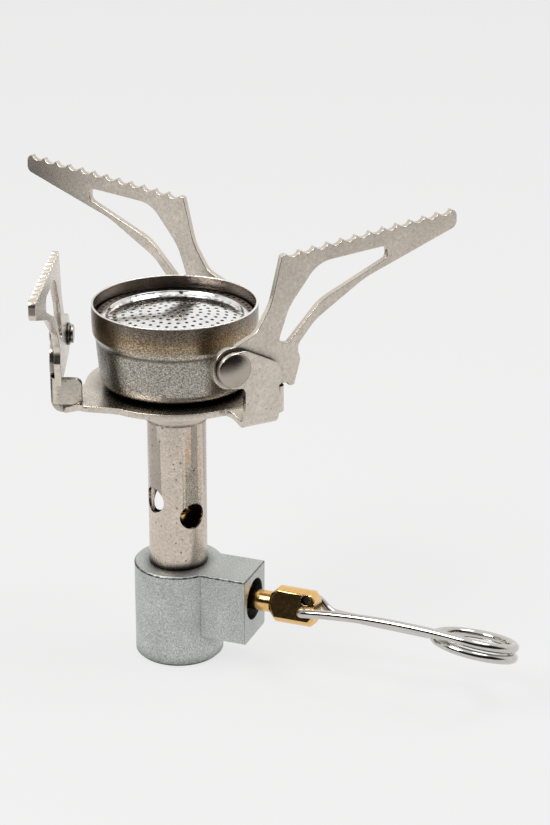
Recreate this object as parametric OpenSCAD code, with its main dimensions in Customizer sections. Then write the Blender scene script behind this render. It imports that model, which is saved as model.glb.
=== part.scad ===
// Folding camping stove that screws onto a gas canister: valve body, mixing tube,
// round burner, three folding toothed pot supports, and a brass flame valve with
// a wire handle.
// Frame: Z is the axis of the canister thread and points up. The origin is the
// centre of the thread's mouth, in the face that the stove stands on. +X is the
// axis of the valve spindle. All sizes are in millimetres.

/* [Valve body] */
// Diameter of the valve body
body_d = 15.5; // [15:0.1:17]
// Height of the valve body
body_h = 17.4; // [17.2:0.1:18.5]
// Width of the square boss that holds the spindle
boss_w = 9.6; // [9.4:0.1:11]
// Distance from the stove's axis to the end face of the boss
boss_reach = 14.3; // [14:0.1:16]
// Diameter of the canister thread, 7/16 inch UNEF
thread_d = 11.12; // [11.1:0.02:11.2]
// Depth of the thread in the canister socket
thread_depth = 5; // [4.5:0.1:5.2]
// Depth of the whole canister socket
socket_depth = 8; // [7.8:0.1:8]
// Height of the spindle's axis above the base
spindle_z = 12.1; // [12:0.1:12.3]

/* [Flame valve] */
// Diameter of the spindle's shaft
shaft_d = 3.7; // [3.5:0.1:3.8]
// Diameter of the spindle's head
head_d = 6.4; // [6:0.1:7]
// Distance between the two flats of the head
head_flats = 4.5; // [4.2:0.1:4.8]
// Turn of the spindle at rest, from flats that stand upright
spindle_turn = 20; // [0:1:40]
// Diameter of the handle's wire
wire_d = 1.6; // [1.2:0.1:1.6]
// Distance from the handle's pivot to the centre of its ring
ring_reach = 30.3; // [28:0.1:34]
// Outer diameter of the handle's ring
ring_d = 15.4; // [13:0.1:16]
// Slope of the handle below the spindle's axis
handle_droop = 0; // [0:0.5:6]

/* [Burner] */
// Outer diameter of the mixing tube
tube_d = 10.14; // [10:0.02:10.3]
// Wall of the mixing tube
tube_wall = 0.5; // [0.4:0.05:0.7]
// Diameter of the four air holes
air_hole_d = 4.7; // [4:0.1:5]
// Outer diameter of the burner at its rim
burner_d = 28.1; // [28:0.1:28.4]
// Height of the burner's rim above the base
burner_z = 65.1; // [65:0.1:65.5]
// Sheet that the burner cup and the flame plate are pressed from
cup_sheet = 0.4; // [0.35:0.05:0.45]
// Diameter of one flame port
port_d = 0.62; // [0.5:0.02:0.7]
// Distance between neighbouring flame ports
port_pitch = 1.45; // [1.4:0.05:1.8]

/* [Pot supports] */
// Sheet of the bracket and of the pot supports
sheet = 1.1; // [1:0.05:1.15]
// Underside of the bracket's disc above the base
bracket_z = 49.6; // [49.5:0.1:49.7]
// Diameter of the bracket's disc
bracket_d = 30.8; // [29:0.1:31]
// Distance from the stove's axis to the outer face of a bracket ear
ear_reach = 20.35; // [20.3:0.05:20.6]
// Direction of the first pot support, measured from the spindle
support_angle = 50; // [48:0.5:52]
// Height of the hinge rivets
pivot_z = 59.4; // [59.3:0.05:59.5]
// Offset of the hinge rivets along the pot support
pivot_s = 0.55; // [0.5:0.05:0.6]
// Number of teeth on a pot support
tooth_count = 13; // [9:1:13]
// Distance between two teeth
tooth_pitch = 2.65; // [2.5:0.05:2.65]
// Shank diameter of the hinge rivets
rivet_d = 2.5; // [2.2:0.1:2.6]

/* [Hidden] */
$fn = 64;

eps = 0.01;
running = 0.05;              // radial clearance of a turning fit

// Colours
titanium = "#b9aea0";
oxidised = "#6d5f52";
alloy = "#b4b8b9";
brass = "#cf9f4a";
steel = "#d9d9d6";
nitrile = "#202020";

// Inside the valve body, along Z
roof_z = socket_depth;       // top of the canister socket
filter_z = roof_z + 0.8;     // the filter lies on the inlet pin's spigot
filter_h = 0.8;
inlet_r = 2.5;               // spigot of the inlet pin, and the filter
groove_z = body_h - 2.2;     // foot of the groove that holds the mixing tube
jet_foot_z = groove_z;
jet_thread_r = 2;
jet_top_z = 28.2;

// Inside the valve body, along X
seat_x = 1.2;                // where the needle closes the gas way
guide_r = shaft_d / 2 + running;
gland_x = 6.4;               // inner end of the wide gland pocket
gland_r = 3.68;
clip_x = 7;
clip_h = 0.5;
seal_r = (gland_r - shaft_d / 2) / 2;
seal_x = clip_x + clip_h + 0.2 + seal_r;
washer_x = seal_x + seal_r;
washer_h = 0.5;
bush_x = washer_x + washer_h;
bush_h = 2.6;

// Head of the spindle and the handle that hangs in it
head_x = 17.6;
head_end_x = 25.9;
lower_hole = [23.8, -0.72];  // along X, and up along the flats
upper_hole = [24.3, 1.5];
handle_hole_r = wire_d / 2 + 0.08;
leg_start_n = head_flats / 2 + 0.15;   // where each leg leaves its hole, just outside the flat
leg_n = leg_start_n + 0.9;
ring_r = (ring_d - wire_d) / 2;
ring_start = 1.0;            // height of the ring's first turn where the front leg meets it
ring_pitch = 1.8;            // drop of the ring in one turn
ring_twist = 2;              // the ring's rear side is bent up by this angle
ring_slope = 0.08;           // how steeply the ring falls away from the legs
front_bow = 3.1;             // how far the front leg bows up, and the rear leg down
rear_bow = -0.2;
rear_level = 0.25;           // height that the rear leg drops to beside the head
leg_slope = asin((ring_r - leg_n) / ring_reach);
ring_turn = 360 + 2 * (90 + leg_slope);

// Burner
neck_z = 44.3;               // foot of the cup's drawn neck
floor_z = bracket_z + sheet;
arm_drop = 1.2;              // the bracket's arms slope down by this from the disc
arm_z = bracket_z - arm_drop;
arm_from = bracket_d / 2 + 0.1;   // where the slope starts, just clear of the disc
shoulder_z = 59.4;
plate_z = 63;                // flat rim of the flame plate
dome_r = 11.4;
dome_drop = 0.5;             // from the flat rim down to the edge of the dome
dome_rise = 1;
port_rows = 7;
rim_ports = 54;

// Pot supports
ear_in = ear_reach - sheet;
leg_out = ear_in - 0.1;
leg_in = leg_out - sheet;
washer_gap = 0.05;
rivet_washer_h = 0.35;
rivet_washer_in = leg_in - washer_gap - rivet_washer_h;
rivet_head_r = 2.9;
rivet_head_h = 0.85;
rivet_tail_h = 0.6;
bend_r = 2;                  // outside of the bend between the bracket and an ear
tab_bend_r = 1.5;            // outside of the bend between an ear and its stop tab
tab_s = 10.2;                // outer face of the stop tab
tab_low = 50.4;
tab_top = 54.9;
tab_end = 15;                // the stop tab reaches this near to the axis

// ---- Geometry helpers ----

function unit(v) = v / norm(v);
function turned(v, a) = [v[0] * cos(a) - v[1] * sin(a), v[0] * sin(a) + v[1] * cos(a)];

// The arc that rounds corner b, between a and c. A corner is [x, y, radius].
function corner_arc(a, b, c, steps) =
    let (p = [b[0], b[1]],
         u = unit([a[0], a[1]] - p),
         w = unit([c[0], c[1]] - p),
         half = acos(max(-1, min(1, u * w))) / 2,
         side = sign(u[0] * w[1] - u[1] * w[0]),
         centre = p + unit(u + w) * b[2] / sin(half),
         start = p + u * b[2] / tan(half) - centre)
    [for (i = [0 : steps]) centre + turned(start, -side * (180 - 2 * half) * i / steps)];

// A closed outline, or an open path, through corners that are rounded by their own radius
function rounded(c, steps = 8, closed = true) =
    let (n = len(c))
    [for (i = [0 : n - 1])
        let (end = !closed && (i == 0 || i == n - 1))
        each (c[i][2] == 0 || end
            ? [[c[i][0], c[i][1]]]
            : corner_arc(c[(i + n - 1) % n], c[i], c[(i + 1) % n], steps))];

// An open path given a thickness to its left
function thickened(path, t) =
    let (n = len(path))
    concat(path, [for (j = [0 : n - 1])
        let (i = n - 1 - j,
             along = unit(path[min(i + 1, n - 1)] - path[max(i - 1, 0)]))
        path[i] + t * [-along[1], along[0]]]);

// A round wire along a 3D path, from rings of equal size
module wire(path, d, sides = 12) {
    n = len(path);
    rings = [for (i = [0 : n - 1])
        let (along = unit(path[min(i + 1, n - 1)] - path[max(i - 1, 0)]),
             up = unit([0, 0, 1] - along * along[2]),
             across = cross(along, up))
        for (k = [0 : sides - 1])
            path[i] + d / 2 * (cos(360 * k / sides) * across + sin(360 * k / sides) * up)];
    walls = [for (i = [0 : n - 2], k = [0 : sides - 1])
        [i * sides + k, i * sides + (k + 1) % sides,
         (i + 1) * sides + (k + 1) % sides, (i + 1) * sides + k]];
    polyhedron(rings, concat(walls,
        [[for (k = [0 : sides - 1]) sides - 1 - k],
         [for (k = [0 : sides - 1]) (n - 1) * sides + k]]), convexity = 6);
}

// A hole or rod between two heights
module rod(r, low, high) translate([0, 0, low]) cylinder(r = r, h = high - low);

// Places its children along the spindle: their Z axis becomes +X
module along_spindle() translate([0, 0, spindle_z]) rotate([0, 90, 0]) children();

// Places its children on the turned spindle: X stays, Y points away from the
// front flat, and Z runs up along the flats
module on_spindle() translate([0, 0, spindle_z]) rotate([-spindle_turn, 0, 0]) children();

// Places a flat outline, drawn in the plane of pot support k, between two distances
// from the axis. X runs along the support and Y is the height.
module in_support_plane(k, near, far)
    rotate([0, 0, support_angle + 120 * k])
        rotate([90, 0, 0])
            translate([0, 0, near])
                linear_extrude(far - near) children();

// Places its children at hinge k: their Z axis points outwards along the rivet
module at_hinge(k)
    rotate([0, 0, support_angle + 120 * k])
        rotate([90, 0, 0])
            translate([pivot_s, pivot_z, 0]) children();

// ---- Valve ----

module valve_body() {
    edge = 0.5;
    boss_low = 5.2;
    color(alloy)
    difference() {
        union() {
            rotate_extrude()
                polygon([[0, 0], [body_d / 2 - edge, 0], [body_d / 2, edge],
                         [body_d / 2, body_h - edge / 2], [body_d / 2 - edge / 2, body_h], [0, body_h]]);
            rotate([90, 0, 90])
                linear_extrude(boss_reach)
                    polygon(rounded([[-boss_w / 2, boss_low, 0.5], [boss_w / 2, boss_low, 0.5],
                                     [boss_w / 2, body_h, 0.3], [-boss_w / 2, body_h, 0.3]], 4));
        }
        rod(thread_d / 2, -eps, roof_z);
        rod(thread_d / 2 + 0.35, thread_depth, roof_z);
        rod(inlet_r, roof_z - eps, filter_z + filter_h);
        translate([2, 0, 0]) rod(0.45, filter_z, spindle_z - 1);
        along_spindle() {
            rod(0.6, -0.6, seat_x + eps);
            rod(guide_r, seat_x, boss_reach);
            rod(gland_r, gland_x, boss_reach + eps);
        }
        rod(0.5, spindle_z, groove_z + eps);
        rod(jet_thread_r, jet_foot_z, body_h + eps);
        difference() {
            rod(tube_d / 2, groove_z, body_h + eps);
            rod(tube_d / 2 - tube_wall - 0.5, groove_z - eps, body_h + 2 * eps);
        }
    }
}

module inlet_pin() {
    tip_z = thread_depth + 0.3;
    color(brass)
    difference() {
        union() {
            rod(1.2, tip_z, roof_z);
            rod(3.2, roof_z - 0.9, roof_z);
            rod(inlet_r, roof_z - eps, filter_z);
        }
        rod(0.5, tip_z - eps, filter_z + eps);
        translate([0, 0, tip_z + 0.6]) rotate([90, 0, 0]) cylinder(r = 0.35, h = 4, center = true);
    }
}

module inlet_filter() {
    color(brass) rod(inlet_r, filter_z, filter_z + filter_h);
}

module inlet_seal() {
    seal = 0.85;
    color(nitrile)
    translate([0, 0, roof_z - seal])
        rotate_extrude() translate([thread_d / 2 - seal - 0.2, 0]) circle(r = seal, $fn = 32);
}

module jet() {
    hex_flats = 6;
    hex_h = 3;
    neck_r = 2.3;
    color(brass)
    difference() {
        union() {
            rod(jet_thread_r, jet_foot_z, body_h);
            translate([0, 0, body_h]) cylinder(r = hex_flats / sqrt(3), h = hex_h, $fn = 6);
            rod(neck_r, body_h + hex_h, jet_top_z - 1.6);
            translate([0, 0, jet_top_z - 1.6]) cylinder(r1 = neck_r, r2 = 1.1, h = 1.6);
        }
        rod(0.8, jet_foot_z - eps, jet_top_z - 1);
        rod(0.2, jet_foot_z, jet_top_z + eps);
    }
}

module valve_spindle() {
    needle_x = 1.4;
    chamfer = (head_d - shaft_d) / 2;
    end_chamfer = 0.8;
    color(brass)
    difference() {
        along_spindle() {
            rotate_extrude()
                polygon([
                    [0, needle_x], [0.25, needle_x], [0.9, needle_x + 2.4], [0.9, needle_x + 3.2],
                    [shaft_d / 2, needle_x + 3.6], [shaft_d / 2, clip_x - running],
                    [shaft_d / 2 - 0.35, clip_x - running], [shaft_d / 2 - 0.35, clip_x + clip_h + running],
                    [shaft_d / 2, clip_x + clip_h + running], [shaft_d / 2, head_x],
                    [head_d / 2, head_x + chamfer], [head_d / 2, head_end_x - end_chamfer],
                    [head_d / 2 - end_chamfer, head_end_x], [0, head_end_x]]);
        }
        on_spindle() {
            for (side = [-1, 1])
                translate([head_x - 1, side * (head_flats / 2 + 2) - 2, -head_d])
                    cube([head_end_x - head_x + 2, 4, 2 * head_d]);
            for (hole = [lower_hole, upper_hole])
                translate([hole[0], 0, hole[1]])
                    rotate([90, 0, 0]) cylinder(r = handle_hole_r, h = head_d, center = true);
        }
    }
}

module spindle_seal() {
    color(nitrile)
    translate([seal_x, 0, spindle_z]) rotate([0, 90, 0])
        rotate_extrude() translate([shaft_d / 2 + seal_r, 0]) circle(r = seal_r - 0.02, $fn = 32);
}

// Open spring ring in the groove of the spindle
module spindle_clip() {
    color(steel)
    along_spindle()
        difference() {
            rod(2.6, clip_x, clip_x + clip_h);
            rod(shaft_d / 2 - 0.35, clip_x - eps, clip_x + clip_h + eps);
            translate([0, -0.9, clip_x - 1]) cube([4, 1.8, 3]);
        }
}

module gland_washer() {
    color(steel)
    along_spindle()
        difference() {
            rod(gland_r - 0.02, washer_x, washer_x + washer_h);
            rod(guide_r, washer_x - eps, washer_x + washer_h + eps);
        }
}

// Screwed ring that holds the seal in the gland pocket, with two spanner slots
module gland_bush() {
    slot_w = 1;
    color(alloy)
    along_spindle()
        difference() {
            rod(gland_r, bush_x, bush_x + bush_h);
            rod(guide_r, bush_x - eps, bush_x + bush_h + eps);
            translate([0, 0, bush_x + bush_h])
                cube([slot_w, 2 * gland_r + 1, 1.2], center = true);
        }
}

// Path of the handle's wire in the handle's own frame: X along the handle, Y away
// from the user, Z up. Each leg leaves its hole, bends, and runs straight to the ring,
// which it meets as a tangent. The ring falls by its pitch as the wire goes round.
function smooth(x) = let (t = max(0, min(1, x))) t * t * (3 - 2 * t);
function bowed(t, from, to, bow) = from + (to - from) * t + bow * t * (1 - t);
function twisted(p) =
    let (yz = turned([p[1], p[2]], ring_twist * smooth(p[0] / (ring_reach - ring_r))))
    [p[0], yz[0], yz[1]];
function handle_path() =
    let (meet_x = ring_reach - ring_r * sin(leg_slope),
         meet_n = ring_r * cos(leg_slope),
         ring_end = ring_start - ring_pitch * ring_turn / 360,
         hole_gap = upper_hole - lower_hole,
         bend = rounded([[0, leg_start_n, 0], [0, leg_n, 0.85], [meet_x, meet_n, 0]], 5, false),
         leg = concat([for (i = [0 : len(bend) - 2]) bend[i]],
             [for (t = [0.05, 0.09, 0.13, 0.17, 0.21, 0.3, 0.4, 0.5, 0.6, 0.7, 0.8, 0.9])
                 [meet_x * t, leg_n + (meet_n - leg_n) * t]]),
         steps = 44)
    [for (p = concat(
        [for (p = leg) [p[0], -p[1], bowed(p[0] / meet_x, 0, ring_start, front_bow)]],
        [for (i = [0 : steps])
            let (a = 90 + leg_slope - ring_turn * i / steps)
            [ring_reach + ring_r * cos(a), -ring_r * sin(a),
             ring_start - ring_pitch * (90 + leg_slope - a) / 360
                 - ring_slope * (ring_reach + ring_r * cos(a) - meet_x)]],
        [for (j = [0 : len(leg) - 1])
            let (p = leg[len(leg) - 1 - j])
            [p[0] + hole_gap[0] * (1 - smooth(p[0] / 8)), p[1],
             bowed(p[0] / meet_x, rear_level, ring_end, rear_bow)
                 + (hole_gap[1] - rear_level) * (1 - smooth(p[0] / 3.6))]]))
     twisted(p)];

module wire_handle() {
    color(steel)
    on_spindle()
        translate([lower_hole[0], 0, lower_hole[1]])
            rotate([0, handle_droop, 0]) {
                translate([0, -leg_start_n - 0.05, 0]) rotate([-90, 0, 0])
                    cylinder(d = wire_d + 0.02, h = leg_start_n + 0.05 + head_flats / 2);
                wire(handle_path(), wire_d);
            }
}

// ---- Burner ----

module mixing_tube() {
    r = tube_d / 2;
    lip_z = floor_z + cup_sheet;
    low_holes_z = 27.4;
    high_holes_z = 30;
    color(titanium)
    difference() {
        rotate_extrude()
            polygon([[r - tube_wall, groove_z], [r, groove_z], [r, lip_z], [r + 1, lip_z],
                     [r + 1, lip_z + tube_wall], [r - tube_wall, lip_z + tube_wall]]);
        for (hole = [[57.4, high_holes_z], [144.4, low_holes_z]])
            translate([0, 0, hole[1]]) rotate([90, 0, hole[0] + 90])
                cylinder(d = air_hole_d, h = tube_d + 2, center = true);
    }
}

// Deep-drawn cup: neck, floor, tapered wall, shoulder and rim, as one sheet
module burner_cup() {
    neck_r = tube_d / 2 + cup_sheet;
    rim_r = burner_d / 2;
    color(oxidised)
    rotate_extrude()
        polygon(thickened(rounded([
            [neck_r, neck_z, 0], [neck_r, floor_z, 0.35], [rim_r - 1.3, floor_z, 2.3],
            [rim_r - 0.6, shoulder_z - 0.4, 1], [rim_r - 0.5, shoulder_z, 0.3],
            [rim_r - 0.1, shoulder_z + 0.9, 0.6], [rim_r, burner_z - 3, 4], [rim_r, burner_z, 0]],
            6, false), cup_sheet));
}

// Pressed plate: skirt, flat rim with a ring of ports, step, and perforated dome
module flame_plate() {
    skirt_r = burner_d / 2 - cup_sheet;
    skirt_h = 0.8;
    rim_row_r = (dome_r + skirt_r) / 2 + 0.1;
    edge_z = plate_z - dome_drop;
    dome = [for (i = [0 : 7]) let (f = i / 7) [dome_r * f, edge_z + dome_rise * (1 - f * f)]];
    top = concat(dome, rounded([
        [dome_r, edge_z, 0], [dome_r + 0.25, plate_z, 0.1], [skirt_r, plate_z, 0.5],
        [skirt_r, plate_z - skirt_h, 0]], 5, false));
    path = [for (i = [0 : len(top) - 1]) if (i != len(dome)) top[i]];
    sheet_outline = [for (p = thickened(path, -cup_sheet)) [max(0, p[0]), p[1]]];
    color(titanium)
    difference() {
        rotate_extrude() polygon(sheet_outline);
        rod(port_d / 2, plate_z - 2, plate_z + 2);
        for (row = [1 : port_rows], i = [0 : round(2 * PI * row) - 1])
            rotate([0, 0, 360 * i / round(2 * PI * row) + 17 * row])
                translate([row * port_pitch, 0, 0]) rod(port_d / 2, plate_z - 2, plate_z + 2);
        for (i = [0 : rim_ports - 1])
            rotate([0, 0, 360 * i / rim_ports])
                translate([rim_row_r, 0, 0]) rod(port_d / 2, plate_z - 2, plate_z + 1);
    }
}

// ---- Pot supports ----

// Flat ear in its own plane: a ring round the rivet on a leaning web
module ear_outline() {
    ring = 2.9;
    web_low = arm_z + bend_r;
    difference() {
        union() {
            translate([pivot_s, pivot_z]) circle(r = ring);
            polygon(rounded([
                [pivot_s, pivot_z + ring, 0], [2.6, 62.4, 2.5], [8.6, 59.3, 1.6], [9.2, 57.5, 2],
                [9.2, tab_top + 0.5, 0.4], [tab_s - tab_bend_r, tab_top + 0.5, 0],
                [tab_s - tab_bend_r, tab_low, 0], [8.7, tab_low - 0.3, 0], [8.7, web_low - 0.8, 0],
                [2.5, web_low - 0.8, 0], [2.5, 55.9, 0.9], [-0.6, 56.2, 1]]));
        }
        translate([0, web_low - 5]) square([20, 5]);
        translate([pivot_s, pivot_z]) circle(d = rivet_d);
    }
}

// Outline of an arm's strip, seen from above
module arm_plan() {
    polygon(rounded([
        [12.7, -8, 0], [11.6, -14.5, 3], [9.6, -(ear_reach - bend_r - 0.4), 0.6],
        [8.7, -(ear_reach - bend_r), 0], [2.5, -(ear_reach - bend_r), 0],
        [2.2, -16.5, 2.5], [0.5, -14.5, 1.5], [-2.2, -14.2, 0], [-2.2, -8, 0]]));
}

// One arm of the bracket: the strip from the disc, its bend, the ear and the stop tab
module bracket_arm(k) {
    in_support_plane(k, ear_in, ear_reach) ear_outline();
    rotate([0, 0, support_angle + 120 * k]) {
        // strip, level over the disc
        translate([0, 0, bracket_z])
            linear_extrude(sheet)
                intersection() {
                    arm_plan();
                    translate([-5, -arm_from]) square([25, arm_from]);
                }
        // and sloping down to the bend
        intersection() {
            translate([0, 0, arm_z - 1]) linear_extrude(sheet + arm_drop + 2) arm_plan();
            translate([-5, 0, 0]) rotate([90, 0, 90])
                linear_extrude(25)
                    polygon([[-arm_from, bracket_z], [-arm_from, bracket_z + sheet],
                             [bend_r - ear_reach, arm_z + sheet], [bend_r - ear_reach, arm_z]]);
        }
        // bend up to the ear
        translate([8.7, -(ear_reach - bend_r), arm_z + bend_r])
            rotate([0, -90, 0])
                linear_extrude(8.7 - 2.5)
                    intersection() {
                        difference() {
                            circle(r = bend_r);
                            circle(r = bend_r - sheet);
                        }
                        translate([-bend_r, -bend_r]) square(bend_r);
                    }
        // bend and flat of the stop tab
        translate([tab_s - tab_bend_r, -(ear_reach - tab_bend_r), tab_low])
            linear_extrude(tab_top - tab_low)
                intersection() {
                    difference() {
                        circle(r = tab_bend_r);
                        circle(r = tab_bend_r - sheet);
                    }
                    translate([0, -tab_bend_r]) square(tab_bend_r);
                }
        translate([tab_s, 0, 0]) rotate([0, -90, 0])
            linear_extrude(sheet)
                polygon(rounded([
                    [tab_low, -(ear_reach - tab_bend_r), 0], [tab_top, -(ear_reach - tab_bend_r), 0],
                    [tab_top, -tab_end, 1.1], [tab_low, -tab_end, 0.3]]));
    }
}

module support_bracket() {
    color(titanium)
    difference() {
        union() {
            rod(bracket_d / 2, bracket_z, bracket_z + sheet);
            for (k = [0 : 2]) bracket_arm(k);
        }
        rod(tube_d / 2 + cup_sheet + 0.35, bracket_z - 1, bracket_z + sheet + 1);
    }
}

// Pot support in its own plane, open: X along the support, Y the height
module support_outline() {
    hub = 3.35;
    teeth_from = [10.7, 77.05];
    teeth_slope = 5.16;
    tooth_depth = 0.65;
    scallop_r = 1.5;
    difference() {
        polygon(rounded([
            [pivot_s - hub, pivot_z + hub, hub], [1.2, 62.85, 1], [5.1, 64.5, 3.5], [7.9, 69, 9],
            [9.85, 77, 0.3], [43.3, 80.05, 1.1], [43.4, 77, 1.3], [25.6, 70.75, 14], [16.1, 65, 9],
            [12.7, 61, 2], [13.4, 58.7, 0.6], [12.2, 54.3, 0.5], [11.35, 54.35, 0.25],
            [10.95, 55, 0.25], [7.6, 55, 1.5], [pivot_s - hub, pivot_z - hub, hub - 0.1]]));
        translate([pivot_s, pivot_z]) circle(d = rivet_d + 2 * running);
        polygon(rounded([
            [9.2, 62.3, 0.75], [11.1, 61.9, 0.5], [17.2, 68.2, 9], [29.9, 73.6, 1.1],
            [29.7, 75.7, 0.9], [16.6, 74.8, 5.5], [11.2, 68, 9]]));
        translate(teeth_from) rotate(teeth_slope)
            for (i = [0 : tooth_count - 2])
                translate([(i + 0.5) * tooth_pitch, scallop_r - tooth_depth]) circle(r = scallop_r);
    }
}

module pot_support(k)
    color(titanium) in_support_plane(k, leg_in, leg_out) support_outline();

// Rivet: low domed head outside the ear, shank, and a flared tail inside
module hinge_rivet(k) {
    shank = rivet_d / 2;
    tail_end = rivet_washer_in - rivet_tail_h;
    color(steel)
    at_hinge(k)
        rotate_extrude()
            polygon(rounded([
                [0, tail_end, 0], [1.6, tail_end, 0.25], [1.6, rivet_washer_in - 0.2, 0],
                [shank, rivet_washer_in, 0], [shank, ear_reach, 0], [rivet_head_r, ear_reach, 0],
                [rivet_head_r, ear_reach + 0.3, 0.2], [rivet_head_r - 0.3, ear_reach + 0.5, 0.3],
                [1.5, ear_reach + 0.8, 2], [0, ear_reach + rivet_head_h, 0]], 5));
}

module rivet_washer(k)
    color(steel)
    at_hinge(k)
        difference() {
            rod(1.9, rivet_washer_in, rivet_washer_in + rivet_washer_h);
            rod(rivet_d / 2, 0, leg_out);
        }

module pot_support_1() { pot_support(0); }
module pot_support_2() { pot_support(1); }
module pot_support_3() { pot_support(2); }
module hinge_rivet_1() { hinge_rivet(0); }
module hinge_rivet_2() { hinge_rivet(1); }
module hinge_rivet_3() { hinge_rivet(2); }
module rivet_washer_1() { rivet_washer(0); }
module rivet_washer_2() { rivet_washer(1); }
module rivet_washer_3() { rivet_washer(2); }

valve_body();
inlet_pin();
inlet_filter();
inlet_seal();
jet();
valve_spindle();
spindle_seal();
spindle_clip();
gland_washer();
gland_bush();
wire_handle();
mixing_tube();
burner_cup();
flame_plate();
support_bracket();
pot_support_1();
pot_support_2();
pot_support_3();
hinge_rivet_1();
hinge_rivet_2();
hinge_rivet_3();
rivet_washer_1();
rivet_washer_2();
rivet_washer_3();
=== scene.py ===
# %% [markdown]
# # A folding camping stove
# The stove screws onto a gas canister. A grey alloy valve body carries a titanium
# mixing tube, a round burner and three folding pot supports. The solid model gives
# every size and place, and this lesson gives it its edges, its finishes and its light.

# %% Start from the solid model
import bpy, bmesh, math
from mathutils import Matrix, Vector
from mathutils.bvhtree import BVHTree


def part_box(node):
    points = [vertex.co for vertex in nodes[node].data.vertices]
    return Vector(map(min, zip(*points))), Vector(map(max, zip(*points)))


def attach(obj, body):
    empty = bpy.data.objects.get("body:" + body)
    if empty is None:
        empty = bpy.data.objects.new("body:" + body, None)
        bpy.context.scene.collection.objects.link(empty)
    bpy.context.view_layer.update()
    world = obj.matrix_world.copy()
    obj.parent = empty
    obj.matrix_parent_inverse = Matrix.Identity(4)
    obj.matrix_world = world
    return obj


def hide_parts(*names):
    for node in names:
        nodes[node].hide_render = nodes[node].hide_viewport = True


MM = 0.001
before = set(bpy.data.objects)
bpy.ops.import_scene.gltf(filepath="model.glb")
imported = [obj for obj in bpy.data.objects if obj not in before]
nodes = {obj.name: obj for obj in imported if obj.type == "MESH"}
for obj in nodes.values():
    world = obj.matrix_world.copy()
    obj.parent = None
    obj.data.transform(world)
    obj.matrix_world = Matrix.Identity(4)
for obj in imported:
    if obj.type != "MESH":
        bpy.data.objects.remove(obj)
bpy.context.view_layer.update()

# %% [markdown]
# ## The camera
# A small product is shot from a little above with a long lens, so that its upright
# edges stay nearly parallel. The camera turns about Z first, then tilts down.

# %% Camera
camera_data = bpy.data.cameras.new("camera")
camera_data.lens = 99.58
camera_data.sensor_width = 36
camera = bpy.data.objects.new("camera", camera_data)
camera.location = Vector((143.86, -332.12, 191.11)) * MM
camera.rotation_euler = (Matrix.Rotation(math.radians(20.753), 3, "Z")
                         @ Matrix.Rotation(math.radians(90 - 22.0), 3, "X")
                         @ Matrix.Rotation(math.radians(0.134), 3, "Z")).to_euler()
camera_data.clip_start, camera_data.clip_end = 0.01, 20
bpy.context.scene.collection.objects.link(camera)
bpy.context.scene.camera = camera
bpy.context.scene.view_settings.view_transform = "Standard"
print("camera distance in mm:", round(camera.location.length / MM))

# %% [markdown]
# ## Helpers for nodes
# Every material is a small node tree. Two helpers keep the cells short: one adds a
# node and sets its inputs, the other starts a material with its Principled shader.

# %% Node helpers
def add(tree, kind, links=None, values=None, **settings):
    """A node with its settings; links are sockets to join, values are numbers to set."""
    node = tree.nodes.new(kind)
    for key, value in settings.items():
        setattr(node, key, value)
    for key, value in (values or {}).items():
        node.inputs[key].default_value = value
    for key, socket in (links or {}).items():
        tree.links.new(socket, node.inputs[key])
    return node


def new_material(name, metallic=1.0, roughness=0.4, **extra):
    """A material with one Principled shader, and the object's own coordinates."""
    material = bpy.data.materials.new(name)
    material.use_nodes = True
    tree = material.node_tree
    shader = tree.nodes["Principled BSDF"]
    shader.inputs["Metallic"].default_value = metallic
    shader.inputs["Roughness"].default_value = roughness
    for key, value in extra.items():
        shader.inputs[key].default_value = value
    place = add(tree, "ShaderNodeTexCoord").outputs["Object"]
    return material, tree, shader, place


def new_group(name, inputs, outputs):
    """A shader node group with named inputs (kind, start value) and outputs (kind)."""
    group = bpy.data.node_groups.new(name, "ShaderNodeTree")
    for key, (kind, start) in inputs.items():
        socket = group.interface.new_socket(key, in_out="INPUT", socket_type=kind)
        if start is not None:
            socket.default_value = start
    for key, kind in outputs.items():
        group.interface.new_socket(key, in_out="OUTPUT", socket_type=kind)
    start = group.nodes.new("NodeGroupInput").outputs
    end = group.nodes.new("NodeGroupOutput").inputs
    return group, start, end


def use(tree, group, links=None, values=None):
    """Places a group in a material."""
    node = tree.nodes.new("ShaderNodeGroup")
    node.node_tree = group
    for key, value in (values or {}).items():
        node.inputs[key].default_value = value
    for key, socket in (links or {}).items():
        tree.links.new(socket, node.inputs[key])
    return node


FLOAT, VECTOR, COLOUR = "NodeSocketFloat", "NodeSocketVector", "NodeSocketColor"
print("helpers ready")

# %% [markdown]
# ## Grain
# Blasted and oxidised metal is covered in pits a tenth of a millimetre across. Noise at
# two sizes, pushed to more contrast, gives both the dark and light specks and the bump.

# %% Grain group
grain, g_in, g_out = new_group("grain",
    {"Vector": (VECTOR, None), "Size": (FLOAT, 4000.0), "Contrast": (FLOAT, 0.5),
     "Dark": (COLOUR, (0.3, 0.3, 0.3, 1)), "Light": (COLOUR, (0.6, 0.6, 0.6, 1))},
    {"Color": COLOUR, "Height": FLOAT})
fine = add(grain, "ShaderNodeTexNoise", {"Vector": g_in["Vector"], "Scale": g_in["Size"]},
           {"Detail": 3.0, "Roughness": 0.6})
low = add(grain, "ShaderNodeMath", {1: g_in["Contrast"]}, {0: 0.5}, operation="SUBTRACT")
high = add(grain, "ShaderNodeMath", {1: g_in["Contrast"]}, {0: 0.5}, operation="ADD")
spread = add(grain, "ShaderNodeMapRange", {"Value": fine.outputs["Fac"], "From Min": low.outputs[0],
                                           "From Max": high.outputs[0]})
tone = add(grain, "ShaderNodeMix", {0: spread.outputs["Result"], 6: g_in["Dark"], 7: g_in["Light"]},
           data_type="RGBA")
grain.links.new(tone.outputs[2], g_out["Color"])
grain.links.new(spread.outputs["Result"], g_out["Height"])
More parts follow.
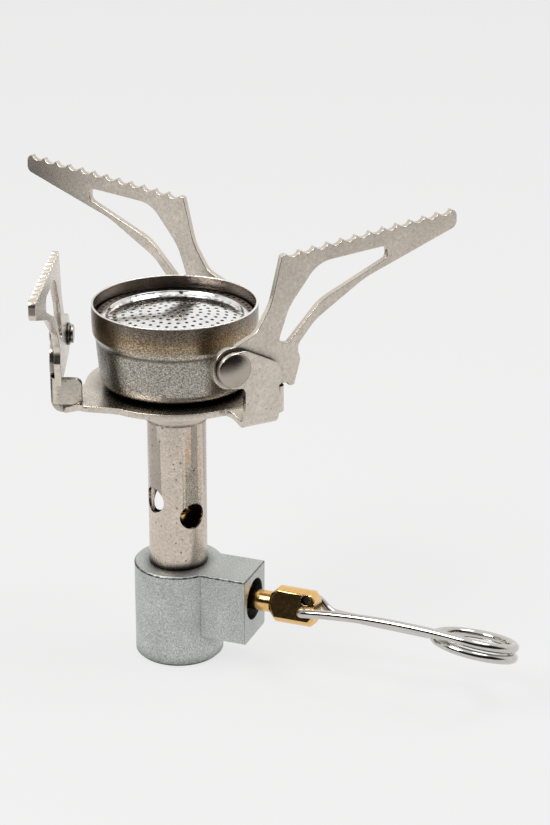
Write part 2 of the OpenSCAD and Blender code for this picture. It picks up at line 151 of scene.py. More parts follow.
print("grain:", [item.name for item in grain.interface.items_tree])

# %% [markdown]
# ## Worn and shaded edges
# Where a sheet was stamped and tumbled, its edges are brighter than its faces. On the valve body
# the edge colour is near black: painted shade where its rounded edges would catch the light. The Bevel
# node bends the normal near an edge, so its difference from the true normal is a mask.

# %% Worn and shaded edge group
wear_and_shade_edges, w_in, w_out = new_group("edge_wear_and_shade",
    {"Color": (COLOUR, (0.5, 0.5, 0.5, 1)), "Edge Color": (COLOUR, (0.8, 0.8, 0.8, 1)),
     "Radius": (FLOAT, 0.0002), "Amount": (FLOAT, 0.7)},
    {"Color": COLOUR, "Mask": FLOAT})
rounded_normal = add(wear_and_shade_edges, "ShaderNodeBevel", {"Radius": w_in["Radius"]}, samples=4)
true_normal = add(wear_and_shade_edges, "ShaderNodeNewGeometry")
facing = add(wear_and_shade_edges, "ShaderNodeVectorMath", {0: rounded_normal.outputs[0], 1: true_normal.outputs["Normal"]},
             operation="DOT_PRODUCT")
edge = add(wear_and_shade_edges, "ShaderNodeMapRange", {"Value": facing.outputs["Value"], "To Max": w_in["Amount"]},
           {"From Min": 0.995, "From Max": 0.85})
blend = add(wear_and_shade_edges, "ShaderNodeMix", {0: edge.outputs["Result"], 6: w_in["Color"], 7: w_in["Edge Color"]},
            data_type="RGBA")
wear_and_shade_edges.links.new(blend.outputs[2], w_out["Color"])
wear_and_shade_edges.links.new(edge.outputs["Result"], w_out["Mask"])
print("worn edge:", [item.name for item in wear_and_shade_edges.interface.items_tree])

# %% [markdown]
# ## Spots and tool marks
# Handled titanium has scattered dark spots, and turned parts carry fine rings. Both are
# masks, so that each metal can colour them in its own way.

# %% Spot group and ring group
spots, s_in, s_out = new_group("spots",
    {"Vector": (VECTOR, None), "Size": (FLOAT, 700.0), "Share": (FLOAT, 0.3)}, {"Mask": FLOAT})
cells = add(spots, "ShaderNodeTexVoronoi", {"Vector": s_in["Vector"], "Scale": s_in["Size"]})
patch = add(spots, "ShaderNodeTexNoise", {"Vector": s_in["Vector"]}, {"Scale": 160.0, "Detail": 2.0})
size = add(spots, "ShaderNodeMath", {0: patch.outputs["Fac"], 1: s_in["Share"]}, operation="MULTIPLY")
edge_of_spot = add(spots, "ShaderNodeMath", {0: size.outputs[0]}, {1: 0.08}, operation="ADD")
inside = add(spots, "ShaderNodeMapRange", {"Value": cells.outputs["Distance"],
             "From Min": edge_of_spot.outputs[0], "From Max": size.outputs[0]})
spots.links.new(inside.outputs["Result"], s_out["Mask"])

rings, r_in, r_out = new_group("turned_rings",
    {"Distance": (FLOAT, 0.0), "Pitch": (FLOAT, 0.0003)}, {"Height": FLOAT})
wobble = add(rings, "ShaderNodeTexNoise", values={"Scale": 900.0, "Detail": 2.0})
turns = add(rings, "ShaderNodeMath", {0: r_in["Distance"], 1: r_in["Pitch"]}, operation="DIVIDE")
uneven = add(rings, "ShaderNodeMath", {0: wobble.outputs["Fac"], 1: turns.outputs[0]}, operation="ADD")
angle = add(rings, "ShaderNodeMath", {0: uneven.outputs[0]}, {1: 2 * math.pi}, operation="MULTIPLY")
groove = add(rings, "ShaderNodeMath", {0: angle.outputs[0]}, operation="SINE")
rings.links.new(groove.outputs[0], r_out["Height"])
print("groups:", [group.name for group in bpy.data.node_groups])

# %% [markdown]
# ## Metals
# Most pieces are one family: a metallic Principled shader, grain in two tones, edges worn bright
# (on the valve body painted dark), painted shade in crevices and a slight bump. One function makes them,
# and the numbers tell them apart.

# %% The metal family
def painted_crevice_shade(tree, colour, reach=0.003, darkest=0.08):
    """Darkens a colour in crevices and beside its neighbours: painted shade, from ambient occlusion."""
    near = add(tree, "ShaderNodeAmbientOcclusion", values={"Distance": reach}, samples=6)
    keep_light = add(tree, "ShaderNodeMapRange", {"Value": near.outputs["AO"]},
                     {"From Min": 0.35, "From Max": 0.85, "To Min": darkest, "To Max": 1.0})
    return add(tree, "ShaderNodeVectorMath", {0: colour, 3: keep_light.outputs["Result"]},
               operation="SCALE").outputs[0]


def dark_band(tree, place, colour, low, high, darkest, broken=0.0):
    """Darkens a colour between two heights in millimetres; noise breaks the band up."""
    level = add(tree, "ShaderNodeSeparateXYZ", {0: place}).outputs["Z"]
    above_low = add(tree, "ShaderNodeMath", {0: level}, {1: low * MM}, operation="GREATER_THAN")
    fade = add(tree, "ShaderNodeMapRange", {"Value": level}, {"From Min": (low + 0.6 * (high - low)) * MM,
               "From Max": high * MM, "To Min": 1.0, "To Max": 0.0})
    gaps = add(tree, "ShaderNodeTexNoise", {"Vector": place}, {"Scale": 1400.0, "Detail": 2.0})
    kept = add(tree, "ShaderNodeMapRange", {"Value": gaps.outputs["Fac"]},
               {"From Min": 0.4, "From Max": 0.55, "To Min": 1.0 - broken, "To Max": 1.0})
    band = add(tree, "ShaderNodeMath", {0: above_low.outputs[0], 1: fade.outputs["Result"]},
               operation="MULTIPLY")
    broken_band = add(tree, "ShaderNodeMath", {0: band.outputs[0], 1: kept.outputs["Result"]},
                      operation="MULTIPLY")
    dirt = add(tree, "ShaderNodeMapRange", {"Value": broken_band.outputs[0]},
               {"To Min": 1.0, "To Max": darkest})
    return add(tree, "ShaderNodeVectorMath", {0: colour, 3: dirt.outputs["Result"]},
               operation="SCALE").outputs[0]


def grained_metal(name, dark, light, edge_colour, size, contrast, roughness, bump=0.1,
                  spot=None, spot_share=0.3, edge_amount=0.6, metallic=1.0, reach=0.003, band=None):
    """A blasted, tumbled or oxidised metal."""
    material, tree, shader, place = new_material(name, metallic, roughness)
    pits = use(tree, grain, {"Vector": place}, {"Size": size, "Contrast": contrast,
                                                 "Dark": (*dark, 1), "Light": (*light, 1)})
    clouds = add(tree, "ShaderNodeTexNoise", {"Vector": place}, {"Scale": 180.0, "Detail": 4.0})
    shade = add(tree, "ShaderNodeMapRange", {"Value": clouds.outputs["Fac"]},
                {"From Min": 0.3, "From Max": 0.7, "To Min": 0.9, "To Max": 1.06})
    mottled = add(tree, "ShaderNodeVectorMath", {0: pits.outputs["Color"], 3: shade.outputs["Result"]},
                  operation="SCALE")
    colour = mottled.outputs[0]
    if spot:
        dots = use(tree, spots, {"Vector": place}, {"Share": spot_share})
        colour = add(tree, "ShaderNodeMix", {0: dots.outputs["Mask"], 6: colour},
                     {7: (*spot, 1)}, data_type="RGBA").outputs[2]
    edge_toned = use(tree, wear_and_shade_edges, {"Color": colour}, {"Edge Color": (*edge_colour, 1), "Amount": edge_amount})
    colour = dark_band(tree, place, edge_toned.outputs["Color"], *band) if band else edge_toned.outputs["Color"]
    # painted shade: the colour is darkened in crevices and between parts
    tree.links.new(painted_crevice_shade(tree, colour, reach), shader.inputs["Base Color"])
    dull = add(tree, "ShaderNodeMapRange", {"Value": pits.outputs["Height"]},
               {"To Min": min(1.0, roughness + 0.08), "To Max": max(0.05, roughness - 0.06)})
    tree.links.new(dull.outputs["Result"], shader.inputs["Roughness"])
    pitted = add(tree, "ShaderNodeBump", {"Height": pits.outputs["Height"]},
                 {"Strength": bump, "Distance": 0.00006})
    tree.links.new(pitted.outputs["Normal"], shader.inputs["Normal"])
    return material


body_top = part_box("valve_body")[1].z / MM
# painted shade: the body's near-black edge colour darkens its rounded edges, which the key light would make
# bright
blasted_alloy = grained_metal("blasted_alloy", (0.40, 0.42, 0.405), (0.66, 0.675, 0.66), (0.03, 0.03, 0.03),
                              4200, 0.12, 0.45, 0.35, edge_amount=0.9,
                              # painted shade: the band darkens the top 0.4 mm of the body's side, a dark line
                              # where the top edge would catch the light
                              band=(body_top - 0.4, body_top - 0.01, 0.1, 0.5))
satin_titanium = grained_metal("satin_titanium", (0.54, 0.485, 0.42), (0.76, 0.69, 0.60), (0.92, 0.89, 0.84),
                               1800, 0.34, 0.24, 0.05, spot=(0.3, 0.24, 0.2), spot_share=0.08, edge_amount=0.3,
                               reach=0.004)
tube_titanium = grained_metal("tube_titanium", (0.50, 0.43, 0.36), (0.76, 0.67, 0.58), (0.8, 0.75, 0.68),
                              2200, 0.26, 0.27, 0.15, spot=(0.2, 0.14, 0.11), spot_share=0.14,
                              # the band makes the tube darker from 1 mm below to 1.3 mm above the body's top
                              band=(body_top - 1, body_top + 1.3, 0.1, 0.0))
bright_plate = grained_metal("bright_plate", (0.84, 0.84, 0.84), (0.95, 0.95, 0.95), (0.9, 0.9, 0.9),
                             1500, 0.3, 0.12, 0.03, edge_amount=0.0)
plain_steel = grained_metal("plain_steel", (0.30, 0.29, 0.28), (0.46, 0.45, 0.43), (0.7, 0.7, 0.68),
                            2500, 0.2, 0.3, 0.1)
bronze_sinter = grained_metal("bronze_sinter", (0.2, 0.12, 0.06), (0.6, 0.4, 0.22), (0.6, 0.4, 0.22),
                              3500, 0.1, 0.6, 0.8)
brass_turned = grained_metal("brass_turned", (0.74, 0.44, 0.15), (0.88, 0.58, 0.25), (1.0, 0.82, 0.5),
                             1500, 0.3, 0.15, 0.05, edge_amount=0.5)
print("metals:", len(bpy.data.materials))

# %% [markdown]
# ## Heat tint
# Titanium that has been hot goes straw and brown where it was hottest, near the rim.
# Height picks the tint; below the shoulder the cup is the grey of the pressed sheet. The same
# ramp paints a shadow under the shoulder's step and a highlight on it, and the rim's top is a painted
# highlight.

# %% Burner cup finish
cup_finish, tree, shader, place = new_material("burner_cup_finish", 1.0, 0.3)
parts = add(tree, "ShaderNodeSeparateXYZ", {0: place})
flat_place = add(tree, "ShaderNodeCombineXYZ", {"X": parts.outputs["X"], "Y": parts.outputs["Y"]})
from_axis = add(tree, "ShaderNodeVectorMath", {0: flat_place.outputs[0]}, operation="LENGTH")
# the outer skin and the floor are 0.4 mm thick, so the radius and the height tell the skins apart
neck = add(tree, "ShaderNodeMath", {0: parts.outputs["Z"]}, {1: 50.2 * MM}, operation="LESS_THAN")
draft = add(tree, "ShaderNodeMapRange", {"Value": parts.outputs["Z"]},
            {"From Min": 52.0 * MM, "From Max": 59.0 * MM, "To Min": 12.65 * MM, "To Max": 13.25 * MM})
step_out = add(tree, "ShaderNodeMapRange", {"Value": parts.outputs["Z"]},
               {"From Min": 59.2 * MM, "From Max": 60.4 * MM, "To Max": 0.55 * MM})
edge_radius = add(tree, "ShaderNodeMath", {0: draft.outputs["Result"], 1: step_out.outputs["Result"]},
                  operation="ADD")
inner = add(tree, "ShaderNodeMath", {0: from_axis.outputs["Value"], 1: edge_radius.outputs[0]},
            operation="LESS_THAN")
wall = add(tree, "ShaderNodeMath", {0: parts.outputs["Z"]}, {1: 52.5 * MM}, operation="GREATER_THAN")
inside_wall = add(tree, "ShaderNodeMath", {0: inner.outputs[0], 1: wall.outputs[0]}, operation="MULTIPLY")
pits = use(tree, grain, {"Vector": place}, {"Size": 4600, "Contrast": 0.12,
           "Dark": (0.15, 0.145, 0.135, 1), "Light": (0.60, 0.575, 0.53, 1)})
heat = add(tree, "ShaderNodeMapRange", {"Value": parts.outputs["Z"]},
           {"From Min": 50.7 * MM, "From Max": 65.1 * MM})
tint_with_painted_step = add(tree, "ShaderNodeValToRGB", {"Fac": heat.outputs["Result"]})
stops = tint_with_painted_step.color_ramp.elements
stops[0].position, stops[0].color = 0.0, (1.0, 0.97, 0.93, 1)
stops[1].position, stops[1].color = 1.0, (0.50, 0.45, 0.40, 1)
# painted shadow at 0.60, under the shoulder's step, and painted highlight at 0.63, on the step
for position, colour in ((0.56, (1.0, 0.97, 0.92, 1)), (0.60, (0.25, 0.24, 0.23, 1)),
                         (0.63, (1.1, 1.05, 0.95, 1)),
                         (0.70, (1.0, 0.86, 0.68, 1)), (0.78, (0.95, 0.72, 0.50, 1)),
                         (0.88, (0.66, 0.55, 0.45, 1))):
    stops.new(position).color = colour
tinted_with_painted_step = add(tree, "ShaderNodeMix", {6: pits.outputs["Color"], 7: tint_with_painted_step.outputs["Color"]}, {0: 1.0},
             data_type="RGBA", blend_type="MULTIPLY")
# the inner wall is coloured dark brown
inner_wall_darkened = add(tree, "ShaderNodeMix", {0: inside_wall.outputs[0], 6: tinted_with_painted_step.outputs[2]},
             {7: (0.25, 0.20, 0.165, 1)},
             data_type="RGBA")
joined = add(tree, "ShaderNodeMix", {0: neck.outputs[0], 6: inner_wall_darkened.outputs[2]}, {7: (0.60, 0.52, 0.44, 1)},
             data_type="RGBA")
# painted highlight: the rim's top is coloured near white, where it catches the light
rim_highlight_mask = add(tree, "ShaderNodeMath", {0: parts.outputs["Z"]}, {1: 64.98 * MM}, operation="GREATER_THAN")
rim_painted_highlight = add(tree, "ShaderNodeMix", {0: rim_highlight_mask.outputs[0], 6: joined.outputs[2]},
             {7: (0.93, 0.90, 0.85, 1)},
             data_type="RGBA")
# the cup is darker, in broken patches, between 44.0 and 44.9 mm high
foot = dark_band(tree, place, rim_painted_highlight.outputs[2], 44.0, 44.9, 0.3, 0.6)
# painted shade: the cup's colour is darkened within 1.5 mm of other surfaces
tree.links.new(painted_crevice_shade(tree, foot, 0.0015), shader.inputs["Base Color"])
smooth_part = add(tree, "ShaderNodeMath", {0: inside_wall.outputs[0], 1: neck.outputs[0]},
                  operation="MAXIMUM")
rough = add(tree, "ShaderNodeMapRange", {"Value": smooth_part.outputs[0]}, {"To Min": 0.26, "To Max": 0.2})
tree.links.new(rough.outputs["Result"], shader.inputs["Roughness"])
pitted = add(tree, "ShaderNodeBump", {"Height": pits.outputs["Height"]},
             {"Strength": 0.22, "Distance": 0.00005})
tree.links.new(pitted.outputs["Normal"], shader.inputs["Normal"])
print("burner cup finish:", len(tree.nodes), "nodes")

# %% [markdown]
# ## Turned rivets
# A rivet's head was faced on a lathe, so rings run round its middle. Each rivet leans its
# own way, so the distance is measured from that rivet's own axis.

# %% Rivet finish
def rivet_finish(name, centre, axis):
    """Bright steel with rings round one axis."""
    material, tree, shader, place = new_material(name, 1.0, 0.2, **{"Base Color": (0.42, 0.37, 0.32, 1)})
    from_centre = add(tree, "ShaderNodeVectorMath", {0: place}, {1: centre}, operation="SUBTRACT")
    around = add(tree, "ShaderNodeVectorMath", {0: from_centre.outputs[0]}, {1: axis},
                 operation="CROSS_PRODUCT")
    distance = add(tree, "ShaderNodeVectorMath", {0: around.outputs[0]}, operation="LENGTH")
    marks = use(tree, rings, {"Distance": distance.outputs["Value"]}, {"Pitch": 0.00036})
    ridged = add(tree, "ShaderNodeBump", {"Height": marks.outputs["Height"]},
                 {"Strength": 0.14, "Distance": 0.00003})
    tree.links.new(ridged.outputs["Normal"], shader.inputs["Normal"])
    rough = add(tree, "ShaderNodeMapRange", {"Value": marks.outputs["Height"]},
                {"From Min": -1.0, "To Min": 0.22, "To Max": 0.14})
    tree.links.new(rough.outputs["Result"], shader.inputs["Roughness"])
    return material


# %% [markdown]
# ## Wire and rubber
# Drawn wire has faint streaks along its length, so its noise is stretched along X. The
# seals are dull black rubber, hardly seen, with a little bloom.

# %% Wire and rubber
drawn_wire, tree, shader, place = new_material("drawn_wire", 1.0, 0.08)
streak = add(tree, "ShaderNodeMapping", {0: place}, {"Scale": (40, 2500, 2500)})
lines = add(tree, "ShaderNodeTexNoise", {"Vector": streak.outputs[0]}, {"Scale": 1.0, "Detail": 3.0})
bright = add(tree, "ShaderNodeMix", {0: lines.outputs["Fac"]},
             {6: (0.42, 0.40, 0.37, 1), 7: (0.72, 0.70, 0.67, 1)},
             data_type="RGBA")
tree.links.new(bright.outputs[2], shader.inputs["Base Color"])
drag = add(tree, "ShaderNodeMapRange", {"Value": lines.outputs["Fac"]}, {"To Min": 0.04, "To Max": 0.14})
tree.links.new(drag.outputs["Result"], shader.inputs["Roughness"])

seal_rubber, tree, shader, place = new_material("seal_rubber", 0.0, 0.6)
bloom = use(tree, grain, {"Vector": place}, {"Size": 2500, "Contrast": 0.25,
            "Dark": (0.012, 0.012, 0.012, 1), "Light": (0.035, 0.035, 0.035, 1)})
tree.links.new(bloom.outputs["Color"], shader.inputs["Base Color"])
print("materials:", [material.name for material in bpy.data.materials])

# %% [markdown]
# ## From solid model to finished mesh
# The solid model's triangles come in loose and its edges are razor sharp. A copy is
# joined, its flat faces are made whole, and a small bevel catches the light.

# %% Refine a node
def set_finish(piece, material):
    piece.data.materials.clear()
    piece.data.materials.append(material)


def keep(piece, body, *replaced, slot=None):
    """Attaches a piece to what it rides on and hides the parts it stands for; slot is not used."""
    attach(piece, body)
    if replaced:
        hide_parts(*replaced)
    return piece


def from_mesh(name, shape, material, smooth_angle=35):
    """An object from a bmesh, smooth except at its real edges."""
    mesh = bpy.data.meshes.new(name)
    shape.to_mesh(mesh)
    shape.free()
    mesh.shade_smooth()
    mesh.set_sharp_from_angle(angle=math.radians(smooth_angle))
    piece = bpy.data.objects.new(name, mesh)
    bpy.context.scene.collection.objects.link(piece)
    set_finish(piece, material)
    return piece


def refined(name, node, body, slot, material, bevel=0.0, segments=2, angle=40):
    """A joined copy of a node, with its sharp edges rounded, in place of the node."""
    shape = bmesh.new()
    shape.from_mesh(nodes[node].data)
    bmesh.ops.remove_doubles(shape, verts=shape.verts, dist=0.002 * MM)
    bmesh.ops.dissolve_limit(shape, angle_limit=math.radians(0.4), verts=shape.verts, edges=shape.edges)
    if bevel:
        is_sharp = lambda edge: len(edge.link_faces) == 2 and edge.calc_face_angle(0) > math.radians(angle)
        short = lambda edge: edge.calc_length() < 2.2 * bevel * MM
        # an edge is left alone where three or more sharp edges crowd into a short one
        sharp = [edge for edge in shape.edges if is_sharp(edge) and not any(
            short(near) and is_sharp(near) and len([e for e in end.link_edges if is_sharp(e)]) > 2
            for end in edge.verts for near in end.link_edges)]
        bmesh.ops.bevel(shape, geom=sharp, offset=bevel * MM, offset_type="OFFSET", segments=segments,
                        profile=0.5, affect="EDGES", clamp_overlap=False, material=-1)
        surface = BVHTree.FromObject(nodes[node], bpy.context.evaluated_depsgraph_get())
        spikes = [vert for vert in shape.verts if surface.find_nearest(vert.co)[3] > 0.8 * bevel * MM]
        for vert in spikes:
            vert.co = surface.find_nearest(vert.co)[0]
        print(name, len(spikes), "stray corners pulled back")
    piece = from_mesh(name, shape, material)
    if bevel:
        weighted = piece.modifiers.new("flat faces stay flat", "WEIGHTED_NORMAL")
        weighted.keep_sharp = True
    print(name, len(piece.data.polygons), "faces")
    return keep(piece, body, node, slot=slot)


refined("valve_body_shell", "valve_body", "root", "anodised_body", blasted_alloy, 0.03)
refined("mixing_tube_shell", "mixing_tube", "root", "titanium_tube", tube_titanium)
refined("burner_cup_shell", "burner_cup", "root", "oxidised_titanium", cup_finish, 0.1)
refined("flame_plate_shell", "flame_plate", "root", "polished_plate", bright_plate)
refined("bracket_sheet", "support_bracket", "root", "titanium_sheet", satin_titanium, 0.1)
for k in (1, 2, 3):
    refined(f"support_blade_{k}", f"pot_support_{k}", f"support_{k}", "titanium_sheet", satin_titanium, 0.1)
    refined(f"tail_washer_{k}", f"rivet_washer_{k}", "root", "steel", plain_steel, 0.05)
refined("spindle_turned", "valve_spindle", "spindle", "brass", brass_turned, 0.08)
refined("gas_jet", "jet", "root", "brass", brass_turned, 0.08)
refined("gland_ring", "gland_bush", "root", "anodised_body", blasted_alloy, 0.06)
for name, material in (("inlet_pin", brass_turned), ("inlet_filter", bronze_sinter),
                       ("inlet_seal", seal_rubber),
                       ("spindle_seal", seal_rubber), ("spindle_clip", plain_steel),
                       ("gland_washer", plain_steel)):
    set_finish(nodes[name], material)

# %% [markdown]
# ## Rivets
# A rivet's outline is half a section. Spun round its axis it makes the domed head,
# the shank and the flared tail in one closed skin.

# %% Spin an outline
def spun(name, outline, centre, axis, material, steps=64):
    """A closed outline of (radius, distance) pairs in millimetres, spun round an axis."""
    shape = bmesh.new()
    points = [shape.verts.new((radius * MM, 0, distance * MM)) for radius, distance in outline]
    lines = [shape.edges.new(pair) for pair in zip(points, points[1:])]
    bmesh.ops.spin(shape, geom=points + lines, cent=(0, 0, 0), axis=(0, 0, 1), angle=2 * math.pi,
                   steps=steps, use_merge=True)
    bmesh.ops.remove_doubles(shape, verts=shape.verts, dist=0.001 * MM)
    bmesh.ops.recalc_face_normals(shape, faces=shape.faces)
    turn = axis.to_track_quat("Z", "Y").to_matrix().to_4x4()
    bmesh.ops.transform(shape, matrix=Matrix.Translation(centre) @ turn, verts=shape.verts)
    return from_mesh(name, shape, material)


for k in (1, 2, 3):
    low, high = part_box(f"hinge_rivet_{k}")
    turn = math.radians(50 + 120 * (k - 1))
    along = Vector((math.cos(turn), math.sin(turn), 0))
    out = Vector((math.sin(turn), -math.cos(turn), 0))
    centre = 0.55 * MM * along + 59.4 * MM * Vector((0, 0, 1))
    outline = [(0, 21.2), (0.5, 21.18), (1.0, 21.12), (1.5, 21.02), (2.0, 20.88), (2.4, 20.73), (2.7, 20.6),
               (2.84, 20.5), (2.9, 20.42), (2.9, 20.35), (1.25, 20.35), (1.25, 17.65), (1.6, 17.45),
               (1.6, 17.25), (1.52, 17.1), (1.35, 17.05), (0, 17.05)]
    rivet = spun(f"rivet_{k}", outline, centre, out, rivet_finish(f"rivet_faced_{k}", centre, out))
    keep(rivet, "root", f"hinge_rivet_{k}", slot="rivet_steel")
    print("rivet", k, "CAD z from", round(low.z / MM, 2), "to", round(high.z / MM, 2))

# %% [markdown]
# ## Wire handle
# One length of polished wire hangs in the spindle's head and ends in a ring of about one and a half turns.
# A smooth curve follows the solid model's route, and a round section runs along it.

# %% Wire handle
def eased(value):
    value = min(1.0, max(0.0, value))
    return value * value * (3 - 2 * value)


spindle_z, head_turn = 12.1, math.radians(-20)    # height of the spindle's axis; turn of its head
head_frame = Matrix.Translation((0, 0, spindle_z * MM)) @ Matrix.Rotation(head_turn, 4, "X")
wire_r, ring_reach, ring_r = 0.8, 30.3, 6.9
first_level, ring_pitch, ring_twist, ring_slope = 1.0, 1.8, 2, 0.08
rear_level = 0.25                      # the rear leg drops to this beside the head
leg_n, hole_gap = 3.3, (0.5, 2.22)    # leg from the middle of the head; front hole to rear hole
slope = math.asin((ring_r - leg_n) / ring_reach)
meet_x, meet_n = ring_reach - ring_r * math.sin(slope), ring_r * math.cos(slope)
ring_turn = 2 * math.pi + 2 * (math.pi / 2 + slope)
last_level = first_level - ring_pitch * ring_turn / (2 * math.pi)
bowed = lambda t, start, end, bow: start + (end - start) * t + bow * t * (1 - t)
leg = [(0, 2.3), (0, 2.4), (0.06, 2.72), (0.25, 3.05), (0.52, 3.24), (0.85, 3.31)]
leg += [(meet_x * t, leg_n + (meet_n - leg_n) * t)
        for t in (0.05, 0.09, 0.13, 0.17, 0.21, 0.3, 0.4, 0.5, 0.6, 0.7, 0.8, 0.9)]
route = [(x, -n, bowed(x / meet_x, 0, first_level, 3.1)) for x, n in leg]
for i in range(49):
    turn = math.pi / 2 + slope - ring_turn * i / 48
    route.append((ring_reach + ring_r * math.cos(turn), -ring_r * math.sin(turn),
                  first_level + (last_level - first_level) * i / 48
                  - ring_slope * (ring_reach + ring_r * math.cos(turn) - meet_x)))
route += [(x + hole_gap[0] * (1 - eased(x / 8)), n,
           bowed(x / meet_x, rear_level, last_level, -0.2)
            + (hole_gap[1] - rear_level) * (1 - eased(x / 3.6)))
          for x, n in reversed(leg)]
route = [Matrix.Rotation(math.radians(ring_twist) * eased(x / (ring_reach - ring_r)), 3, "X")
         @ Vector((x, y, z))
         for x, y, z in route]
curve = bpy.data.curves.new("handle_route", "CURVE")
curve.dimensions = "3D"
curve.bevel_depth, curve.bevel_resolution, curve.resolution_u, curve.use_fill_caps = wire_r * MM, 5, 3, True
line = curve.splines.new("NURBS")
line.points.add(len(route) - 1)
for point, place_of in zip(line.points, route):
    point.co = (*(place_of * MM), 1)
line.use_endpoint_u, line.order_u = True, 4
handle_curve = bpy.data.objects.new("handle_route", curve)
bpy.context.scene.collection.objects.link(handle_curve)
bpy.context.view_layer.update()
made = bpy.data.meshes.new_from_object(handle_curve.evaluated_get(bpy.context.evaluated_depsgraph_get()))
bpy.data.objects.remove(handle_curve)
shape = bmesh.new()
shape.from_mesh(made)
bmesh.ops.remove_doubles(shape, verts=shape.verts, dist=0.002 * MM)
bmesh.ops.recalc_face_normals(shape, faces=shape.faces)
front_hole = Vector((23.8, 0, -0.72))
hang = head_frame @ Matrix.Translation(front_hole * MM)
bmesh.ops.transform(shape, matrix=hang, verts=shape.verts)
handle = keep(from_mesh("handle_wire", shape, drawn_wire), "handle", "wire_handle", slot="polished_wire")
low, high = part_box("wire_handle")
print("handle", [round(v / MM, 1) for v in (*low, *high)], len(handle.data.polygons), "faces")

# %% [markdown]
# ## The wire's rear tip
# The rear leg is pushed through the upper hole from behind and ends just inside its mouth.
# The tip is a short rounded rod of its own, so that it turns with the spindle.

# %% The wire's rear tip
rear_hole = Vector((24.3, 0, 1.5))
tip = spun("wire_tip", [(0, 1.9), (0.5, 1.86), (0.74, 1.66), (0.8, 1.4), (0.8, -1.9), (0, -1.9)],
           head_frame @ (rear_hole * MM),
           Matrix.Rotation(head_turn, 3, "X") @ Vector((0, -1, 0)), drawn_wire, 24)
keep(tip, "spindle", slot="polished_wire")

# %% [markdown]
# ## Canister thread
# The socket's thread is a small V that climbs 0.9 mm each turn. Spinning one V with a rise
# per step makes the helix; it stays inside the wall that the solid model gives.

# %% Canister thread
pitch, turns_up, per_turn = 25.4 / 28, 4.6, 40
shape = bmesh.new()
profile = [shape.verts.new(Vector(p) * MM)
           for p in ((5.66, 0, 0.12), (5.12, 0, 0.45), (5.12, 0, 0.57), (5.66, 0, 0.9))]
steps = round(turns_up * per_turn)
sides = [shape.edges.new(pair) for pair in zip(profile, profile[1:] + profile[:1])]
bmesh.ops.spin(shape, geom=profile + sides, cent=(0, 0, 0),
               axis=(0, 0, 1), dvec=(0, 0, pitch * MM / per_turn), angle=2 * math.pi * turns_up, steps=steps)
bmesh.ops.holes_fill(shape, edges=[edge for edge in shape.edges if edge.is_boundary], sides=8)
print("open edges left:", len([edge for edge in shape.edges if edge.is_boundary]))
bmesh.ops.recalc_face_normals(shape, faces=shape.faces)
keep(from_mesh("socket_thread", shape, blasted_alloy), "root", slot="anodised_body")
print("thread turns", turns_up, "of pitch", round(pitch, 3))

# %% [markdown]
# ## The studio
# A pale floor runs out past the view. Polished metal shows what it reflects, so large soft
# lights and a dark card, which only reflections see, give the metal its contrast.

# %% Floor
towards_camera = (0.397, -0.918, 0.0)    # level direction from the stove to the camera
bpy.ops.mesh.primitive_plane_add(size=8, location=(0, 0, 0))
floor = bpy.context.object
floor.name = "studio_floor"
floor_finish, tree, shader, place = new_material("studio_floor", 0.0, 0.9,
                                                 **{"Base Color": (0.1, 0.1, 0.1, 1)})
shader.inputs["Specular IOR Level"].default_value = 0.0
shader.inputs["Emission Color"].default_value = (1, 1, 1, 1)
# the lamps light the paper round the stove, so what metal mirrors further out in front is darker
ahead = add(tree, "ShaderNodeVectorMath", {0: place}, {1: towards_camera}, operation="DOT_PRODUCT")
fading = add(tree, "ShaderNodeMapRange", {"Value": ahead.outputs["Value"]},
             {"From Min": 0.115, "From Max": 0.2, "To Min": 0.76, "To Max": 0.12},
             interpolation_type="SMOOTHSTEP")
seen_straight = add(tree, "ShaderNodeLightPath").outputs["Is Camera Ray"]
paper = add(tree, "ShaderNodeMix", {0: seen_straight, 2: fading.outputs["Result"]}, {3: 0.74},
            data_type="FLOAT")
tree.links.new(paper.outputs[0], shader.inputs["Emission Strength"])
set_finish(floor, floor_finish)

# %% [markdown]
# ## Room and lights
# The room is dark in front, bright behind and bright above, as a table against a paper
# sweep is. Two soft lamps add the highlights, and one dark card darkens the cup's left.

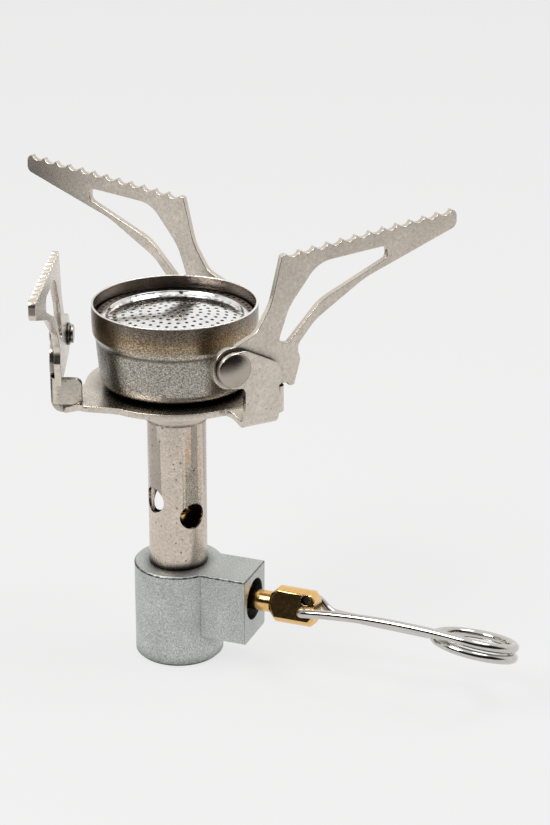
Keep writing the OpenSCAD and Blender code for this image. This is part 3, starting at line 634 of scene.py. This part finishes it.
# %% Room and lights
world = bpy.data.worlds.new("studio_room")
bpy.context.scene.world = world
world.use_nodes = True
tree = world.node_tree
direction = add(tree, "ShaderNodeTexCoord").outputs["Generated"]
towards_front = add(tree, "ShaderNodeVectorMath", {0: direction}, {1: towards_camera},
                    operation="DOT_PRODUCT")
upwards = add(tree, "ShaderNodeSeparateXYZ", {0: direction})
wall = add(tree, "ShaderNodeMapRange", {"Value": towards_front.outputs["Value"]},
           {"From Min": -0.2, "From Max": 0.3, "To Min": 0.95, "To Max": 0.02},
           interpolation_type="SMOOTHSTEP")
above = add(tree, "ShaderNodeMapRange", {"Value": upwards.outputs["Z"]}, {"From Min": 0.68, "From Max": 0.86},
            interpolation_type="SMOOTHSTEP")
glow = add(tree, "ShaderNodeMix", {0: above.outputs["Result"], 2: wall.outputs["Result"]}, {3: 1.0},
           data_type="FLOAT")
tree.links.new(glow.outputs[0], tree.nodes["Background"].inputs["Strength"])
tree.nodes["Background"].inputs["Color"].default_value = (1.0, 0.99, 0.97, 1)


def soft_light(name, azimuth, elevation, distance, size, power):
    """A square soft light that faces the burner, placed by its direction in degrees."""
    light = bpy.data.lights.new(name, "AREA")
    light.shape, light.size, light.energy = "SQUARE", size, power
    lamp = bpy.data.objects.new(name, light)
    a, e = math.radians(azimuth), math.radians(elevation)
    away = Vector((math.sin(a) * math.cos(e), -math.cos(a) * math.cos(e), math.sin(e)))
    lamp.location = Vector((0, 0, 0.04)) + away * distance
    lamp.rotation_euler = away.to_track_quat("Z", "Y").to_euler()
    bpy.context.scene.collection.objects.link(lamp)
    return lamp


def dark_card(name, azimuth, distance, width, height, low, tone=0.01):
    """An upright card that only reflections see."""
    a = math.radians(azimuth)
    away = Vector((math.sin(a), -math.cos(a), 0))
    bpy.ops.mesh.primitive_plane_add(size=1)
    card = bpy.context.object
    card.name = name
    card.scale = (width, height, 1)
    card.rotation_euler = away.to_track_quat("Z", "Y").to_euler()
    card.location = away * distance + Vector((0, 0, low + height / 2))
    card_finish = new_material(name, 0.0, 1.0, **{"Base Color": (tone, tone, tone, 1)})[0]
    set_finish(card, card_finish)
    card.visible_camera = card.visible_shadow = card.visible_diffuse = False
    return card


soft_light("key_light", -35, 50, 0.6, 0.3, 2.5)
soft_light("side_light", 110, 62, 0.6, 0.25, 1.2)
dark_card("card_left", -95, 0.09, 0.09, 0.045, 0.018)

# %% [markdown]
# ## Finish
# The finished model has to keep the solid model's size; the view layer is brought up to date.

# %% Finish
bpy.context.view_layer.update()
